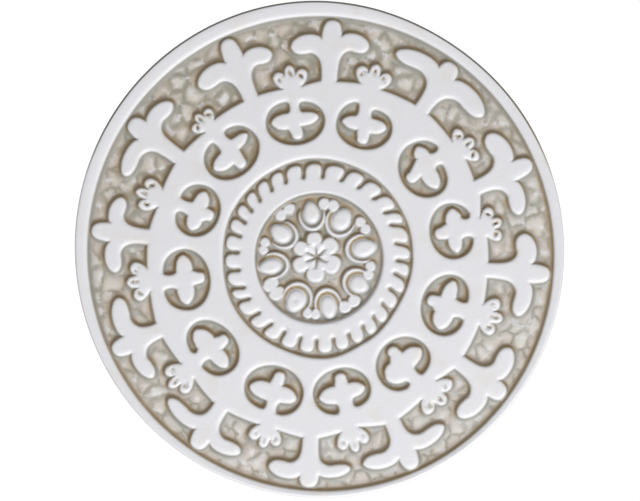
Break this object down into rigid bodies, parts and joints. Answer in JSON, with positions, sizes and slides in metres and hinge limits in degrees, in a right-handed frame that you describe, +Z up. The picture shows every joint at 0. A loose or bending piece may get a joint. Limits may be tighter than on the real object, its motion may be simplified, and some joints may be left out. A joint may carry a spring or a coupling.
{
  "type": "carved ceramic wall plaque",
  "caption": "Round glazed clay wall plaque, slightly oval, with a carved rosette of sprays, palmettes and eyes standing in a sunk field inside a plain rim",
  "frame": {"origin": "the middle of the flat back face, which lies against the wall", "axes": "+Z up as it hangs, +Y out of the back into the wall, the carved face looks towards -Y, +X to the right as seen from the front"},
  "size_m": [0.2986, 0.018, 0.3034],
  "materials": {
    "white_glaze": "gloss"
  },
  "bodies": {
    "root": {"plaque": "white_glaze"}
  },
  "joints": []
}
